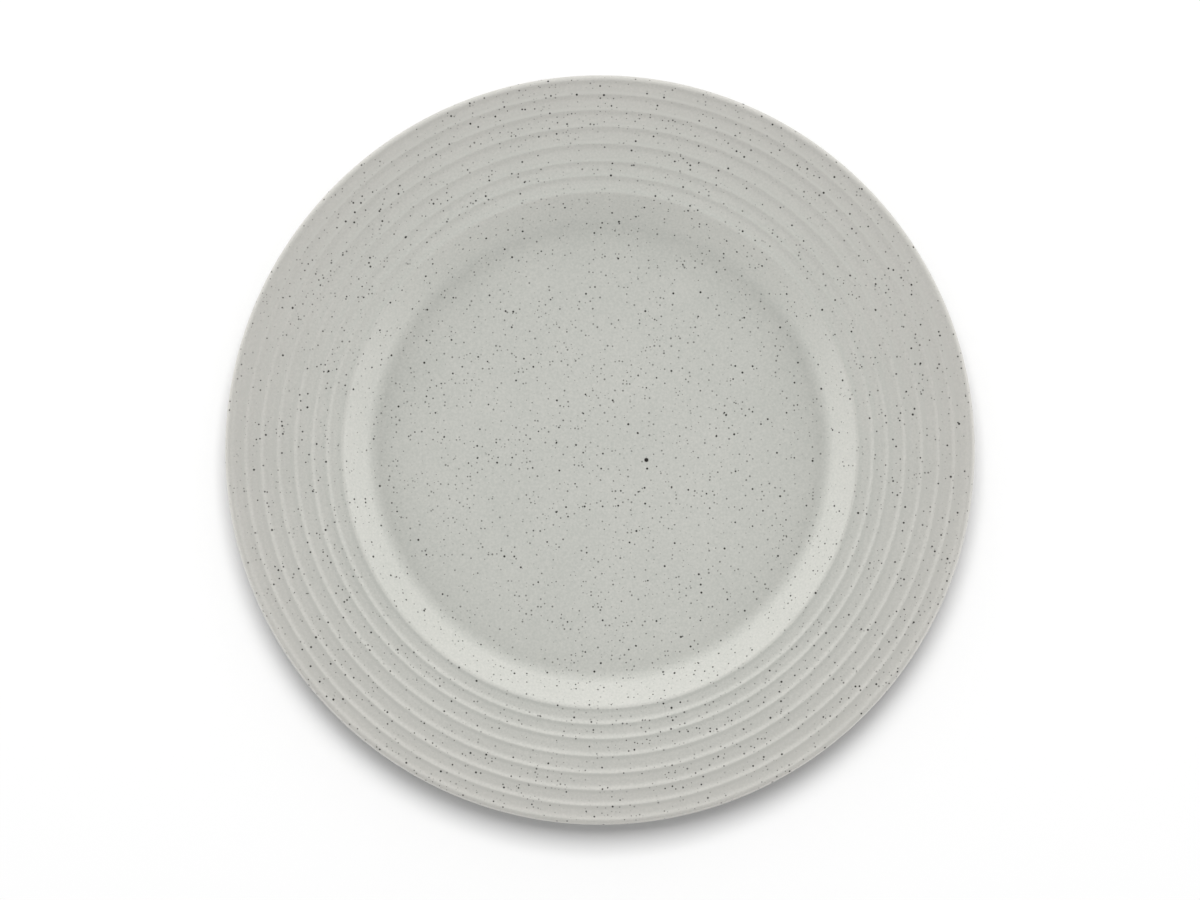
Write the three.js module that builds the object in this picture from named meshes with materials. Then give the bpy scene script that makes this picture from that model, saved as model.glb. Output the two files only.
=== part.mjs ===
// A stoneware dinner plate: a turned clay body with a ring-turned rim and a foot ring,
// glazed on the face, over the lip and down to the foot, and again inside the foot ring.
// The axis of the plate is +Z and the table is at height 0.
import * as THREE from 'three';

// Sizes of the glazed plate, in millimetres
const plateDiameter = 270;
const floorDiameter = 165; // floor of the well, to its sharp corner with the wall
const wallRun = 10.2; // the wall leans out this far between floor and shoulder
const wellDepth = 7.8; // from the floor up to the sharp corner of the shoulder
const rimRise = 3.3; // from the shoulder's corner up to the lip
const floorFillet = 8.5;
const shoulderRound = 2.2;

// Turned rings of the rim. Spacing is from crest to crest, from the shoulder to the lip,
// and is stretched evenly where the rim is wider or narrower than its sum.
const ringSpacing = [5.6, 5.3, 6.3, 6.2, 6.0, 5.7, 5.4];
const ringHeight = 0.18; // from a crest down its outer flank, against the rim's straight slope
const ringStep = 0.54; // an inner flank is this much higher, because each band slopes down to it
const ringInnerFlank = 2.2; // width of the flank that faces the well
const ringOuterFlank = 1.6; // width of the flank that faces the lip

// Thicknesses with the glaze, and the roundings of the underside
const baseThickness = 5;
const wallThickness = 5;
const rimThickness = 5.2; // under the shoulder, thinning towards the lip
const lipThickness = 4;
const lipRound = 1.5; // reach of the lip's upper rounding
const lipRoundHeight = 1.7;
const lipUnderRound = 3.5; // reach of the lip's lower rounding
const underFillet = 10; // between the rim's underside and the well
const neckFillet = 3; // between the well and the foot ring
const glazeThickness = 0.4;

// Foot ring
const footWidth = 4.5;
const footHeight = 3.7;
const footOverhang = 2; // the foot's outer side stands this far outside the floor's corner
const footRound = 0.8;
const baseRecess = 3.2; // the glazed base inside the foot ring clears the table by this
const recessFillet = 1;
const glazeLine = 1.1; // the foot ring is bare clay below this height

// Facets: round the plate, and along the arcs and the rings' flanks of each surface
const segments = 48;
const glazeSteps = { arc: 3, flank: 2 };
const claySteps = { arc: 2, flank: 1 };

const plateRadius = plateDiameter / 2;
const floorRadius = floorDiameter / 2;
const floorHeight = baseRecess + baseThickness;
const shoulderHeight = floorHeight + wellDepth;
const plateHeight = shoulderHeight + rimRise;
const wallSlope = Math.atan2(wellDepth, wallRun);
const footOuter = floorRadius + footOverhang;
const footInner = footOuter - footWidth;

const at = (radius, height) => new THREE.Vector2(radius, height);

// Straight runs through corners, each rounded by its fillet where it has one
function roundedLine(corners, steps) {
  return corners.flatMap(({ corner, fillet }, i) => {
    if (!fillet) return [corner];
    const before = corners[i - 1];
    const after = corners[i + 1];
    const back = before.corner.clone().sub(corner);
    const onward = after.corner.clone().sub(corner);
    const halfTurn = (Math.PI - back.angleTo(onward)) / 2;
    const reach = Math.min(
      fillet * Math.tan(halfTurn),
      back.length() / (before.fillet ? 2 : 1),
      onward.length() / (after.fillet ? 2 : 1),
    );
    const start = corner.clone().addScaledVector(back.normalize(), reach);
    const end = corner.clone().addScaledVector(onward.normalize(), reach);
    return new THREE.QuadraticBezierCurve(start, corner, end).getPoints(steps);
  });
}

// Eases from 0 to 1 over the width of a flank
function ease(distance, width) {
  const share = Math.min(distance / width, 1);
  return (1 - Math.cos(Math.PI * share)) / 2;
}

// The rim from one crest to the next: down an outer flank, along a band and up an inner flank
function groove(from, to, step, flankSteps) {
  const width = to.x - from.x;
  const shares = Array.from({ length: flankSteps + 1 }, (_, i) => i / flankSteps);
  const outerFlank = shares.map((share) => ringOuterFlank * share);
  const innerFlank = shares.map((share) => width - ringInnerFlank * (1 - share));
  return [...outerFlank, ...innerFlank.slice(0, -1)].map((out) => {
    const flanks = ease(out, ringOuterFlank) * ease(width - out, ringInnerFlank);
    const depth = (ringHeight + (step * out) / width) * flanks;
    return from.clone().lerp(to, out / width).sub(at(0, depth));
  });
}

// All grooves from the shoulder's crest to the lip's crest; the lip itself has no step
function ringedRim(shoulderCrest, lipCrest, flankSteps) {
  const sum = ringSpacing.reduce((total, gap) => total + gap, 0);
  let reached = 0;
  const crests = [0, ...ringSpacing].map((gap) => {
    reached += gap;
    return shoulderCrest.clone().lerp(lipCrest, reached / sum);
  });
  return ringSpacing.flatMap((_, i) => {
    const step = i < ringSpacing.length - 1 ? ringStep : 0;
    return groove(crests[i], crests[i + 1], step, flankSteps);
  });
}

// The lip from its crest over the edge to the underside
function lip(steps) {
  const edgeHeight = plateHeight - lipRoundHeight;
  const underHeight = lipThickness - lipRoundHeight;
  const upper = new THREE.EllipseCurve(
    plateRadius - lipRound, edgeHeight, lipRound, lipRoundHeight, Math.PI / 2, 0, true);
  const lower = new THREE.EllipseCurve(
    plateRadius - lipUnderRound, edgeHeight, lipUnderRound, underHeight, 0, -Math.PI / 2, true);
  return [...upper.getPoints(steps), ...lower.getPoints(steps).slice(1)];
}

// The glazed surface from the middle of the well over the lip to the glaze line on the foot
function glazedFace(steps) {
  const shoulder = at(floorRadius + wallRun, shoulderHeight);
  const edge = lip(steps.arc);
  const lipCrest = edge[0];
  const well = roundedLine([
    { corner: at(0, floorHeight) },
    { corner: at(floorRadius, floorHeight), fillet: floorFillet },
    { corner: shoulder, fillet: shoulderRound },
    { corner: lipCrest },
  ], steps.arc).slice(0, -1);
  const shoulderCrest = well.pop();
  const underShoulder = shoulder.clone().add(at(
    wallThickness / Math.sin(wallSlope) - rimThickness / Math.tan(wallSlope), -rimThickness));
  const underside = roundedLine([
    { corner: edge.pop() },
    { corner: underShoulder, fillet: underFillet },
    { corner: at(footOuter, footHeight), fillet: neckFillet },
    { corner: at(footOuter, glazeLine) },
  ], steps.arc);
  return [...well, ...ringedRim(shoulderCrest, lipCrest, steps.flank), ...edge, ...underside];
}

// The glazed surface inside the foot ring, from the middle of the base to the glaze line
function glazedBase(steps) {
  return roundedLine([
    { corner: at(0, baseRecess) },
    { corner: at(footInner, baseRecess), fillet: recessFillet },
    { corner: at(footInner, glazeLine) },
  ], steps.arc);
}

// The same line moved sideways, to the right of its direction
function shifted(line, distance) {
  return line.map((point, i) => {
    const before = line[Math.max(i - 1, 0)];
    const after = line[Math.min(i + 1, line.length - 1)];
    const along = after.clone().sub(before).normalize();
    return point.clone().addScaledVector(at(along.y, -along.x), distance);
  });
}

function turned(name, profile, finish) {
  const geometry = new THREE.LatheGeometry(profile, segments);
  geometry.rotateX(Math.PI / 2);
  const mesh = new THREE.Mesh(geometry, new THREE.MeshStandardMaterial(finish));
  mesh.name = name;
  return mesh;
}

// The clay lies under the glaze by the glaze's thickness, and the bare foot continues it
const clayFace = shifted(glazedFace(claySteps), glazeThickness);
const clayBase = shifted(glazedBase(claySteps), -glazeThickness);
const bareFoot = roundedLine([
  { corner: clayBase.at(-1) },
  { corner: at(footInner + glazeThickness, 0), fillet: footRound },
  { corner: at(footOuter - glazeThickness, 0), fillet: footRound },
  { corner: clayFace.at(-1) },
], claySteps.arc).slice(1, -1);

const glazeFinish = { color: 0xc0c1bb, roughness: 0.35, metalness: 0 };
const clayFinish = { color: 0xc3ab8d, roughness: 0.9, metalness: 0 };

const plate = new THREE.Group();
plate.add(turned('stoneware_body', [...clayBase, ...bareFoot, ...clayFace.toReversed()], clayFinish));
plate.add(turned('glaze_coat', [...clayFace, ...glazedFace(glazeSteps).toReversed()], glazeFinish));
plate.add(turned('base_glaze', [...glazedBase(claySteps), ...clayBase.toReversed()], glazeFinish));

export default plate;
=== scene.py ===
import math

import bpy
import numpy as np
from mathutils import Euler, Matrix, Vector


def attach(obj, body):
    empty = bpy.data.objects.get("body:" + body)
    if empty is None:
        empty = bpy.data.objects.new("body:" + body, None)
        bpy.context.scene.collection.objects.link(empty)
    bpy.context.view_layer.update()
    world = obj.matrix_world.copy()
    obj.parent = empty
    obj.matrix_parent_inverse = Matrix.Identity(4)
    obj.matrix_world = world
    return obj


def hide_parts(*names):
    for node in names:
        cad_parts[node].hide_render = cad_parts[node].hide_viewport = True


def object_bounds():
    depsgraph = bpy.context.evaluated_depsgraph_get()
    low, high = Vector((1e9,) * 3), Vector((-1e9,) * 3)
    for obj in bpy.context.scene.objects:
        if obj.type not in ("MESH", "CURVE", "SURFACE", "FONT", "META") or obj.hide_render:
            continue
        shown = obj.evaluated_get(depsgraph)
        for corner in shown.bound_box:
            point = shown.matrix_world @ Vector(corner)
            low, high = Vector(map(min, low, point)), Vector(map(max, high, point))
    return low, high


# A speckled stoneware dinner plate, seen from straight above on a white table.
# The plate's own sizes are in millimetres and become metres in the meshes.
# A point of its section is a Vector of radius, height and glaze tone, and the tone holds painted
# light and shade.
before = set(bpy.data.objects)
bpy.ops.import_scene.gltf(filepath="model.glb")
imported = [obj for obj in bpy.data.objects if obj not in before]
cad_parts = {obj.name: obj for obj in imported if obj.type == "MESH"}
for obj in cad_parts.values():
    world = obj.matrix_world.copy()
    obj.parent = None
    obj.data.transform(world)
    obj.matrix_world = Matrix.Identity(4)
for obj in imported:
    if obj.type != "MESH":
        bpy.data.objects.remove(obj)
solid_low, solid_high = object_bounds()
MM = 0.001
ON_AXIS = 1e-6  # a smaller radius is on the plate's axis

# The plate's section
PLATE_RADIUS = solid_high.x / MM
PLATE_HEIGHT = solid_high.z / MM
FLOOR_RADIUS = 82.5
WALL_RUN = 10.2
WELL_DEPTH = 7.8
BASE_THICKNESS = 5.0
BASE_RECESS = 3.2
WALL_THICKNESS = 5.0
RIM_THICKNESS = 5.2
FLOOR_FILLET = 8.5
SHOULDER_ROUND = 2.2
UNDER_FILLET = 10.0
NECK_FILLET = 3.0
GLAZE_THICKNESS = 0.4
FLOOR_HEIGHT = BASE_RECESS + BASE_THICKNESS
SHOULDER_HEIGHT = FLOOR_HEIGHT + WELL_DEPTH

# The rim's turned rings, by the spacing of their crests from the shoulder to the lip
RING_SPACING = (5.6, 5.3, 6.3, 6.2, 6.0, 5.7, 5.1)
RING_HEIGHT = 0.18  # from a crest down its outer flank
RING_STEP = 0.54  # an inner flank is this much higher
LIP_STEP = 0.35  # the same at the lip
RING_INNER_FLANK = 3.0  # width of the flank that faces the well
RING_OUTER_FLANK = 2.0  # width of the flank that faces the lip
FLANK_HOLLOW = 4.5  # a higher value is steeper near the crest

# The hand's rise and fall along the rings: a slow wave and a quick one, shifted from ring to ring
RING_SWAY = 0.03  # height of the slow wave
RING_SWAY_REACH = 1.6  # how far it spreads to both sides of a crest
SLOW_WAVES = (1, 2, 3)  # in one turn, for one ring after the other
SLOW_SHIFT = 2.4  # radians
QUICK_WAVES = 5
QUICK_SHIFT = 1.7  # radians
QUICK_SHARE = 0.6  # height against the slow wave

# How much lighter, or with a minus darker, the glaze is painted in each part, as painted light and
# shade
# Painted light: the well's wall is painted lighter
WALL_PAINTED_LIGHT = 0.15
WALL_PAINTED_LIGHT_RISE = 0.25  # share of the wall's climb over which its painted light comes in
# Painted highlight on the flanks that face the well, where the glaze also runs thin
INNER_FLANK_PAINTED_HIGHLIGHT = 0.12
# Painted shade below the flanks that face the lip, where the glaze also gathers
OUTER_FLANK_PAINTED_SHADE = -0.32
# The bands between the rings are a touch darker
BAND_TONE = -0.03
# Painted shade: the lip is painted darker all round
LIP_PAINTED_SHADE = -0.35

# The lip and the foot ring
LIP_THICKNESS = 4.0
LIP_ROUND = 1.8
LIP_ROUND_HEIGHT = 1.7
LIP_UNDER_ROUND = 3.5
FOOT_OVERHANG = 2.0
FOOT_WIDTH = 4.5
FOOT_OUTER = FLOOR_RADIUS + FOOT_OVERHANG
FOOT_INNER = FOOT_OUTER - FOOT_WIDTH
FOOT_HEIGHT = 3.7
FOOT_ROUND = 0.8
RECESS_FILLET = 1.0
GLAZE_LINE = 1.1

# Mesh fineness: steps round the plate, on an arc and on a ring, and the longest span
TURN_STEPS = 256
GLAZE_STEPS = {"arc": 14, "ring": 24, "span": 3.0}
CLAY_STEPS = {"arc": 5, "ring": 4, "span": 40.0}
ROUND_END_STEPS = 5
SHARP_ANGLE = 50  # degrees

# The glaze's flat layout in a unit square: its seen side is a disc in the middle, and the rest
# lies in the corners, with the underside as a ring round the hidden side
SEEN_DISC = 0.49
CORNER_DISC = 0.2
UNDER_RING_START = 0.125
HIDDEN_DISC = 0.115

# The glaze's finish, and where its pattern starts in millimetres from the plate's origin
GLAZE_ROUGHNESS = 0.42
GLAZE_GLOSS = 0.28
LIP_WARMTH = 0.3
SPECK_EDGE = 0.35  # share of a speck's radius over which it fades
SPECK_SEED = (0, 0, -0.7)

# The studio's light: its white, the strength of the surroundings, the lamps' distance in metres
WHITE = (1, 1, 1, 1)
AMBIENT = 0.47
LAMP_DISTANCE = 3.0

# Lamps: bearing from +X and elevation in degrees, width and height in metres, power in watts
PLATE_LAMPS = {
    "back_softbox": (93, 20, 4.8, 2.0, 78),
    "left_softbox": (180, 19, 4.0, 1.8, 64),
    "right_softbox": (0, 18, 3.6, 1.8, 66),
    "front_softbox": (275, 20, 3.6, 2.0, 16),
}
TABLE_LAMPS = {"table_softbox": (90, 67, 1.6, 1.5, 80)}

# The table keeps the shadow near the plate and then fades to plain white. Lengths are in metres
TABLE_TONE = 0.84
TABLE_REACH = 6.0
SHADOW_REACH = 0.2
TABLE_FADE = 0.25


def rounded_line(corners, steps):
    """Straight runs through (radius, height, fillet) corners, each rounded by its fillet."""
    line = []
    for i, (radius, height, fillet) in enumerate(corners):
        corner = Vector((radius, height, 0))
        if not fillet:
            line.append(corner)
            continue
        back = Vector((*corners[i - 1][:2], 0)) - corner
        onward = Vector((*corners[i + 1][:2], 0)) - corner
        reach = fillet * math.tan((math.pi - back.angle(onward)) / 2)
        start = corner + back.normalized() * reach
        end = corner + onward.normalized() * reach
        for share in np.linspace(0, 1, steps["arc"] + 1):
            line.append(start.lerp(corner, share).lerp(corner.lerp(end, share), share))
    return line


def with_short_spans(line, longest):
    """The same line with its long straight spans divided."""
    divided = [line[0]]
    for before, after in zip(line, line[1:]):
        parts = max(1, math.ceil((after - before).length / longest))
        divided += [before.lerp(after, (i + 1) / parts) for i in range(parts)]
    return divided


def flank(distance, width):
    """From 0 at a ring's rounded crest to 1 at its foot: steepest near the crest, then hollow."""
    share = min(distance / width, 1)
    return 1 - (1 - share) ** FLANK_HOLLOW * (1 + FLANK_HOLLOW * share)


def swell(distance, width):
    """Rises from 0 to 1 near a ring's crest and falls back to 0 at its foot."""
    return math.sin(math.pi * math.sqrt(min(distance / width, 1)))


def quarter_round(middle, reach, rise, steps):
    """A quarter of an ellipse from its top, or with a negative rise its bottom, to its side."""
    turns = np.linspace(0, math.pi / 2, steps["arc"] + 1)
    return [middle + Vector((reach * math.sin(t), rise * math.cos(t), 0)) for t in turns]


def lip_line(steps):
    """The lip from its crest over the edge to the underside."""
    edge_height = PLATE_HEIGHT - LIP_ROUND_HEIGHT
    # The lip's points carry painted shade as their glaze tone
    upper_middle = Vector((PLATE_RADIUS - LIP_ROUND, edge_height, LIP_PAINTED_SHADE))
    upper = quarter_round(upper_middle, LIP_ROUND, LIP_ROUND_HEIGHT, steps)
    lower_middle = Vector((PLATE_RADIUS - LIP_UNDER_ROUND, edge_height, LIP_PAINTED_SHADE))
    lower = quarter_round(lower_middle, LIP_UNDER_ROUND, LIP_ROUND_HEIGHT - LIP_THICKNESS, steps)
    return upper + lower[-2::-1]


def ring_crests(shoulder_crest, lip_crest):
    """Crests of the rim from the shoulder to the lip, on one straight line."""
    reached = np.cumsum((0,) + RING_SPACING) / sum(RING_SPACING)
    return [shoulder_crest.lerp(lip_crest, share) for share in reached]


def ringed_rim(crests, steps):
    """The grooves between the crests, up to the last crest but without it."""
    line = []
    for before, after in zip(crests, crests[1:]):
        width = after.x - before.x
        step = LIP_STEP if after is crests[-1] else RING_STEP
        for i in range(steps["ring"]):
            out = width * i / steps["ring"]
            flanks = flank(out, RING_OUTER_FLANK) * flank(width - out, RING_INNER_FLANK)
            depth = (RING_HEIGHT + step * out / width) * flanks
            # Painted highlight on the inner flank and painted shade on the outer flank, kept as glaze
            # tone
            thin_glaze_and_highlight = INNER_FLANK_PAINTED_HIGHLIGHT * swell(width - out, RING_INNER_FLANK)
            gathered_glaze_and_shade = OUTER_FLANK_PAINTED_SHADE * swell(out, RING_OUTER_FLANK)
            dip = Vector((0, -depth, BAND_TONE + thin_glaze_and_highlight + gathered_glaze_and_shade))
            line.append(before.lerp(after, i / steps["ring"]) + dip)
    return line


def face_line(steps):
    """The glazed surface from the middle of the well over the lip to the glaze line on the foot."""
    slope = math.atan2(WELL_DEPTH, WALL_RUN)
    shoulder_radius = FLOOR_RADIUS + WALL_RUN
    lip = lip_line(steps)
    well = rounded_line([
        (0, FLOOR_HEIGHT, 0),
        (FLOOR_RADIUS, FLOOR_HEIGHT, FLOOR_FILLET),
        (shoulder_radius, SHOULDER_HEIGHT, SHOULDER_ROUND),
        (lip[0].x, lip[0].y, 0),
    ], steps)[:-1]
    crests = ring_crests(well.pop(), lip[0])
    for point in well:
        # The wall's glaze tone is painted light, which comes in as the wall climbs
        climbed = (point.y - FLOOR_HEIGHT) / WELL_DEPTH
        point.z = WALL_PAINTED_LIGHT * min(climbed / WALL_PAINTED_LIGHT_RISE, 1)
    under_shift = WALL_THICKNESS / math.sin(slope) - RIM_THICKNESS / math.tan(slope)
    underside = rounded_line([
        (lip[-1].x, lip[-1].y, 0),
        (shoulder_radius + under_shift, SHOULDER_HEIGHT - RIM_THICKNESS, UNDER_FILLET),
        (FOOT_OUTER, FOOT_HEIGHT, NECK_FILLET),
        (FOOT_OUTER, GLAZE_LINE, 0),
    ], steps)
    line = well + ringed_rim(crests, steps) + lip[:-1] + underside
    return with_short_spans(line, steps["span"]), crests


def base_line(steps):
    """The glazed surface inside the foot ring, from the middle of the base to the glaze line."""
    line = rounded_line([
        (0, BASE_RECESS, 0),
        (FOOT_INNER, BASE_RECESS, RECESS_FILLET),
        (FOOT_INNER, GLAZE_LINE, 0),
    ], steps)
    return with_short_spans(line, steps["span"])


def shifted(line, distance):
    """The same line moved sideways, to the right of its direction."""
    moved = []
    for i, point in enumerate(line):
        along = (line[min(i + 1, len(line) - 1)] - line[max(i - 1, 0)]).normalized()
        moved.append(point + Vector((along.y, -along.x, 0)) * distance)
    return moved


def with_round_end(line, clay_end):
    """A glazed line whose last corner, at the glaze line, is rounded over to the clay."""
    across = clay_end - line[-1]
    rise = Vector((0, GLAZE_THICKNESS, 0))
    turns = np.linspace(0, math.pi / 2, ROUND_END_STEPS + 1)[:-1]
    rounding = [line[-1] + across * (1 - math.cos(t)) + rise * (1 - math.sin(t)) for t in turns]
    return line[:-1] + rounding


def ring_sway(radius, angle, crests):
    """The hand's small rise and fall along each turned ring, in millimetres."""
    height = np.zeros_like(angle)
    for number, crest in enumerate(crests[1:-1], start=1):
        reach = np.exp(-((radius - crest.x) / RING_SWAY_REACH) ** 2)
        waves = SLOW_WAVES[number % len(SLOW_WAVES)]
        slow = np.sin(waves * angle + SLOW_SHIFT * number)
        quick = np.sin(QUICK_WAVES * angle + QUICK_SHIFT * number)
        height += RING_SWAY * reach * (slow + QUICK_SHARE * quick)
    return height


def lay_out(mesh, profile, sheets):
    """Lays the faces out flat as discs: one in the middle of the square, or a quarter in each corner.

    Each sheet gives the last profile point that it reaches, its disc radii at its first and last
    points, and whether it lies in the corners.
    """
    quarter = TURN_STEPS // 4
    turns = np.arange(TURN_STEPS + 1) * 2 * math.pi / TURN_STEPS
    compass = np.stack((np.cos(turns), np.sin(turns)), axis=1)
    corners = np.array([(0, 0), (1, 0), (1, 1), (0, 1)])
    spots = []
    first = 0
    for last, start, end, cornered in sheets:
        line = profile[first:last + 1]
        along = np.cumsum([0] + [(b - a).length for a, b in zip(line, line[1:])])
        spread = start + (end - start) * along / along[-1]
        for k in range(len(line) - 1):
            near_axis = line[k].x < ON_AXIS
            far_axis = line[k + 1].x < ON_AXIS
            for i in range(TURN_STEPS):
                middle = corners[i // quarter] if cornered else (0.5, 0.5)
                spots.append(middle + spread[k] * compass[i])
                if not near_axis:
                    spots.append(middle + spread[k] * compass[i + 1])
                spots.append(middle + spread[k + 1] * compass[i + 1])
                if not far_axis:
                    spots.append(middle + spread[k + 1] * compass[i])
        first = last
    mesh.uv_layers.new(name="OFBake").data.foreach_set("uv", np.array(spots).ravel())


def turned_piece(name, profile, crests, material, sheets=()):
    """A closed solid turned round the plate's axis. The profile starts and ends on the axis."""
    angle = np.arange(TURN_STEPS) * 2 * math.pi / TURN_STEPS
    vertices = []
    rings = []
    tones_and_painted_light = []
    for radius, height, tone in profile:
        first = len(vertices)
        if radius < ON_AXIS:
            vertices.append((0, 0, height * MM))
            rings.append([first] * TURN_STEPS)
            tones_and_painted_light.append(tone)
            continue
        level = height + ring_sway(radius, angle, crests)
        x = radius * np.cos(angle)
        y = radius * np.sin(angle)
        vertices += list(zip(x * MM, y * MM, level * MM))
        rings.append(list(range(first, first + TURN_STEPS)))
        tones_and_painted_light += [tone] * TURN_STEPS
    faces = []
    for lower, upper in zip(rings, rings[1:]):
        for i in range(TURN_STEPS):
            j = (i + 1) % TURN_STEPS
            corners = (lower[i], lower[j], upper[j], upper[i])
            faces.append(tuple(dict.fromkeys(corners)))
    mesh = bpy.data.meshes.new(name)
    mesh.from_pydata(vertices, [], faces)
    mesh.attributes.new("glaze_tone_and_painted_light", "FLOAT", "POINT").data.foreach_set("value", tones_and_painted_light)
    mesh.shade_smooth()
    mesh.set_sharp_from_angle(angle=math.radians(SHARP_ANGLE))
    mesh.materials.append(material)
    if sheets:
        lay_out(mesh, profile, sheets)
    piece = bpy.data.objects.new(name, mesh)
    bpy.context.scene.collection.objects.link(piece)
    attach(piece, "root")
    return piece


class Wire:
    """A node socket that can be used in sums. A sum adds its Math node to the same tree."""

    def __init__(self, tree, socket=None):
        self.tree = tree
        self.socket = socket

    def node(self, kind, settings, inputs):
        """Adds a node, sets it, feeds its sockets by name or number and returns its outputs."""
        made = self.tree.nodes.new(kind)
        for name, value in settings.items():
            setattr(made, name, value)
        for key, value in inputs.items():
            named = [s for s in made.inputs if s.enabled and s.name == key]
            socket = named[0] if named else made.inputs[key]
            if isinstance(value, Wire):
                self.tree.links.new(value.socket, socket)
            else:
                socket.default_value = value
        return {s.name: Wire(self.tree, s) for s in made.outputs if s.enabled}

    def math(self, operation, *values):
        """The result of a Math node on these values."""
        sockets = dict(enumerate(values))
        return self.node("ShaderNodeMath", {"operation": operation}, sockets)["Value"]

    def __add__(self, other):
        return self.math("ADD", self, other)

    def __sub__(self, other):
        return self.math("SUBTRACT", self, other)

    def __rsub__(self, other):
        return self.math("SUBTRACT", other, self)

    def __mul__(self, other):
        return self.math("MULTIPLY", self, other)

    def __truediv__(self, other):
        return self.math("DIVIDE", self, other)

    def __pow__(self, other):
        return self.math("POWER", self, other)

    def __lt__(self, other):
        return self.math("LESS_THAN", self, other)

    __radd__ = __add__
    __rmul__ = __mul__

    def clamped(self):
        """This value, kept from 0 to 1."""
        return self.math("MINIMUM", self.math("MAXIMUM", self, 0), 1)

    def mixed(self, here, there):
        """A colour that goes from here to there as this value goes from 0 to 1."""
        sockets = {"Factor": self, "A": here, "B": there}
        return self.node("ShaderNodeMix", {"data_type": "RGBA"}, sockets)["Result"]


def colour(red, green, blue):
    """A colour as seen, in 0 to 255, made linear for a shader."""
    def linear(value):
        value /= 255
        return value / 12.92 if value <= 0.04045 else ((value + 0.055) / 1.055) ** 2.4
    return (linear(red), linear(green), linear(blue), 1)


def noise(place, size, detail):
    """Soft noise from 0 to 1 whose patches are about the given size in millimetres."""
    sockets = {"Vector": place, "Scale": 1 / size, "Detail": detail}
    return place.node("ShaderNodeTexNoise", {}, sockets)["Fac"]


def specks(place, cell, least, most, share, faint):
    """Round soft spots. A share of the cells holds one, of varied radius and darkness.

    The cell and the least and most radius are in millimetres. The palest spot's darkness is faint,
    and the darkest spot's is 1.
    """
    seeds = place.node("ShaderNodeTexVoronoi", {}, {"Vector": place, "Scale": 1 / cell})
    chance = place.node("ShaderNodeSeparateColor", {}, {"Color": seeds["Color"]})
    radius = least + (most - least) * chance["Green"]
    inside = ((radius - seeds["Distance"] * cell) / (SPECK_EDGE * radius)).clamped()
    darkness = faint + (1 - faint) * chance["Blue"]
    return (chance["Red"] < share) * inside * darkness


def new_material(name):
    """An empty material, and a wire that adds nodes to it."""
    material = bpy.data.materials.new(name)
    material.use_nodes = True
    material.node_tree.nodes.clear()
    return material, Wire(material.node_tree)


def surface(material, start, sockets):
    """Ends a material in one plain shader."""
    shader = start.node("ShaderNodeBsdfPrincipled", {}, sockets)["BSDF"]
    start.node("ShaderNodeOutputMaterial", {}, {"Surface": shader})
    return material


def in_millimetres(start):
    """The place on the plate, moved by the seed that picks where the specks fall."""
    spot = start.node("ShaderNodeTexCoord", {}, {})["Object"]
    sockets = {0: spot, 1: (1 / MM, 1 / MM, 1 / MM), 2: SPECK_SEED}
    return start.node("ShaderNodeVectorMath", {"operation": "MULTIPLY_ADD"}, sockets)["Vector"]


def speckled_glaze():
    """Satin pale grey glaze with dark specks, and painted light and shade from the mesh's glaze tone.
    """
    material, start = new_material("speckled_glaze")
    deep_grey = colour(180, 182, 176)
    pale_grey = colour(197, 197, 191)
    warm_grey = colour(194, 186, 182)
    near_black = colour(30, 28, 25)
    place = in_millimetres(start)
    crowd = noise(place, size=14, detail=1)
    fine = specks(place, cell=1.35, least=0.12, most=0.44, share=crowd * 1.1, faint=0.18)
    bold = specks(place, cell=3.2, least=0.36, most=0.5, share=0.5, faint=0.95)
    black = specks(place, cell=16.0, least=0.7, most=1.0, share=0.1, faint=1)
    clear = (1 - fine) * (1 - bold) * (1 - black)
    mottle = noise(place, size=26, detail=2) - 0.5
    grain = noise(place, size=0.8, detail=2) - 0.5
    # The mesh's glaze tone is painted light on the wall and inner flanks and painted shade below the
    # outer flanks and on the lip
    tone = start.node("ShaderNodeAttribute", {"attribute_name": "glaze_tone_and_painted_light"}, {})["Fac"]
    shade_and_painted_light = 0.5 + 0.5 * mottle + 1.6 * grain + tone
    body = shade_and_painted_light.clamped().mixed(deep_grey, pale_grey)
    spread = start.node("ShaderNodeSeparateXYZ", {}, {"Vector": place})
    radius = (spread["X"] * spread["X"] + spread["Y"] * spread["Y"]) ** 0.5
    outwards = ((radius - FLOOR_RADIUS) / (PLATE_RADIUS - FLOOR_RADIUS)).clamped()
    body = (LIP_WARMTH * outwards).mixed(body, warm_grey)
    tint = clear.mixed(near_black, body)
    rough = GLAZE_ROUGHNESS + 0.06 * noise(place, size=5, detail=2) + 0.1 * (1 - clear)
    ripple = noise(place, size=1.6, detail=2)
    bump = start.node("ShaderNodeBump", {}, {
        "Height": ripple, "Distance": 0.01 * MM, "Strength": 0.3})["Normal"]
    return surface(material, start, {
        "Base Color": tint, "Roughness": rough, "Specular IOR Level": GLAZE_GLOSS, "Normal": bump})


def bare_clay():
    """Fired buff stoneware, dry and a little sandy."""
    material, start = new_material("bare_clay")
    pale_buff = colour(196, 174, 146)
    deep_buff = colour(178, 152, 122)
    rust = colour(84, 62, 44)
    place = in_millimetres(start)
    sand = noise(place, size=0.5, detail=3)
    body = noise(place, size=12, detail=2).mixed(pale_buff, deep_buff)
    iron = specks(place, cell=2.0, least=0.1, most=0.35, share=0.5, faint=0.3)
    tint = (iron * 0.8 + sand * 0.15).mixed(body, rust)
    rough = 0.88 + 0.1 * sand
    bump = start.node("ShaderNodeBump", {}, {
        "Height": sand, "Distance": 0.06 * MM, "Strength": 0.6})["Normal"]
    return surface(material, start, {"Base Color": tint, "Roughness": rough, "Normal": bump})


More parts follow.
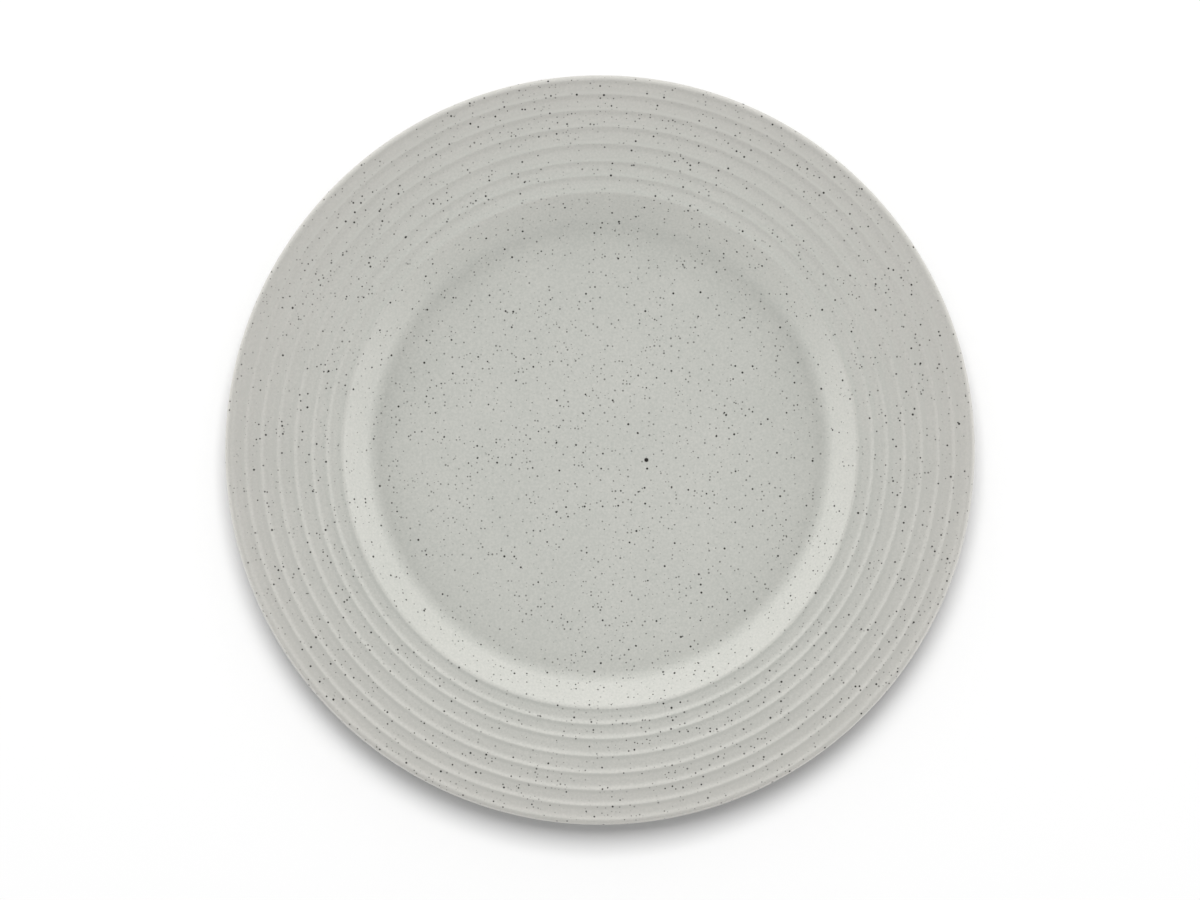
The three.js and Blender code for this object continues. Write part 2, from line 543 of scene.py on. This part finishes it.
def white_table():
    """A pale table that keeps the plate's shadow and is seen as plain white further out."""
    material, start = new_material("white_table")
    seen = start.node("ShaderNodeLightPath", {}, {})["Is Camera Ray"]
    spot = start.node("ShaderNodeTexCoord", {}, {})["Object"]
    away = start.node("ShaderNodeVectorMath", {"operation": "LENGTH"}, {0: spot})["Value"]
    fade = ((away - SHADOW_REACH) / TABLE_FADE).clamped()
    tone = (TABLE_TONE, TABLE_TONE, TABLE_TONE, 1)
    pale = start.node("ShaderNodeBsdfDiffuse", {}, {"Color": tone})["BSDF"]
    white = start.node("ShaderNodeEmission", {}, {"Color": WHITE, "Strength": 1})["Emission"]
    mixed = start.node("ShaderNodeMixShader", {}, {0: seen * fade, 1: pale, 2: white})["Shader"]
    start.node("ShaderNodeOutputMaterial", {}, {"Surface": mixed})
    return material


def build_plate():
    """The glaze on the face, the glaze on the base and the clay, each in place of its solid."""
    glazed, crests = face_line(GLAZE_STEPS)
    clay = shifted(face_line(CLAY_STEPS)[0], GLAZE_THICKNESS)
    base = base_line(GLAZE_STEPS)
    clay_base = shifted(base_line(CLAY_STEPS), -GLAZE_THICKNESS)
    foot = rounded_line([
        (*clay_base[-1].xy, 0),
        (FOOT_INNER + GLAZE_THICKNESS, 0, FOOT_ROUND),
        (FOOT_OUTER - GLAZE_THICKNESS, 0, FOOT_ROUND),
        (*clay[-1].xy, 0),
    ], CLAY_STEPS)[1:-1]
    glaze_material = speckled_glaze()
    edge = max(range(len(glazed)), key=lambda i: glazed[i].x)
    face_profile = clay + with_round_end(glazed, clay[-1])[::-1]
    face_sheets = [
        (len(clay) - 1, 0, HIDDEN_DISC, True),
        (len(face_profile) - 1 - edge, UNDER_RING_START, CORNER_DISC, True),
        (len(face_profile) - 1, SEEN_DISC, 0, False),
    ]
    face = turned_piece("face_glaze", face_profile, crests, glaze_material, face_sheets)
    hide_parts("glaze_coat")
    rounded_base = with_round_end(base, clay_base[-1])
    patch_profile = rounded_base + clay_base[::-1]
    patch_sheets = [
        (len(rounded_base), 0, SEEN_DISC, False),
        (len(patch_profile) - 1, CORNER_DISC, 0, True),
    ]
    patch = turned_piece("base_patch", patch_profile, crests, glaze_material, patch_sheets)
    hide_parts("base_glaze")
    body = turned_piece("clay_plate", clay_base + foot + clay[::-1], crests, bare_clay())
    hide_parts("stoneware_body")
    return face, patch, body


def build_table():
    """A wide flat table top under the plate's foot."""
    quarters = ((-1, -1), (1, -1), (1, 1), (-1, 1))
    corners = [(x * TABLE_REACH, y * TABLE_REACH, 0) for x, y in quarters]
    mesh = bpy.data.meshes.new("table_top")
    mesh.from_pydata(corners, [], [(0, 1, 2, 3)])
    mesh.materials.append(white_table())
    table = bpy.data.objects.new("table_top", mesh)
    bpy.context.scene.collection.objects.link(table)
    return table


def softbox(name, bearing, elevation, width, height, power, lit):
    """A soft lamp that faces the plate and lights only one group of objects."""
    lamp = bpy.data.lights.new(name, "AREA")
    lamp.shape = "RECTANGLE"
    lamp.size = width
    lamp.size_y = height
    lamp.energy = power
    box = bpy.data.objects.new(name, lamp)
    turn = Euler((0, -math.radians(elevation), math.radians(bearing)))
    box.location = Vector((LAMP_DISTANCE, 0, 0))
    box.location.rotate(turn)
    box.rotation_euler = (-box.location).to_track_quat("-Z", "Y").to_euler()
    box.visible_camera = False
    box.light_linking.receiver_collection = lit
    bpy.context.scene.collection.objects.link(box)


def group(name, members):
    """A named set of objects that a lamp lights."""
    made = bpy.data.collections.new(name)
    for member in members:
        made.objects.link(member)
    return made


def light_studio(plate, table):
    """White surroundings, low lamps for the plate alone and a high one for the table alone."""
    world = bpy.data.worlds.new("studio")
    world.use_nodes = True
    world.node_tree.nodes.clear()
    start = Wire(world.node_tree)
    seen = start.node("ShaderNodeLightPath", {}, {})["Is Camera Ray"]
    strength = AMBIENT + (1 - AMBIENT) * seen
    sky = start.node("ShaderNodeBackground", {}, {"Color": WHITE, "Strength": strength})
    start.node("ShaderNodeOutputWorld", {}, {"Surface": sky["Background"]})
    bpy.context.scene.world = world
    for name, setting in PLATE_LAMPS.items():
        softbox(name, *setting, plate)
    for name, setting in TABLE_LAMPS.items():
        softbox(name, *setting, table)


def aim_camera():
    """A camera straight above, with a lens that gives the plate its radius in the picture."""
    picture_width = 1200  # pixels
    outline_radius = 374.7  # pixels
    distance = 1.5  # metres from the lip's edge
    lens = bpy.data.cameras.new("overhead")
    lens.sensor_width = 36  # millimetres
    scale = outline_radius / (PLATE_RADIUS * MM)
    lens.lens = scale * distance * lens.sensor_width / picture_width
    camera = bpy.data.objects.new("overhead", lens)
    edge_height = (PLATE_HEIGHT - LIP_ROUND_HEIGHT) * MM
    camera.location = (0, 0, edge_height + distance)
    bpy.context.scene.collection.objects.link(camera)
    bpy.context.scene.camera = camera


plate_pieces = build_plate()
table_top = build_table()
light_studio(group("plate", plate_pieces), group("table", [table_top]))
aim_camera()
bpy.context.scene.view_settings.view_transform = "Standard"
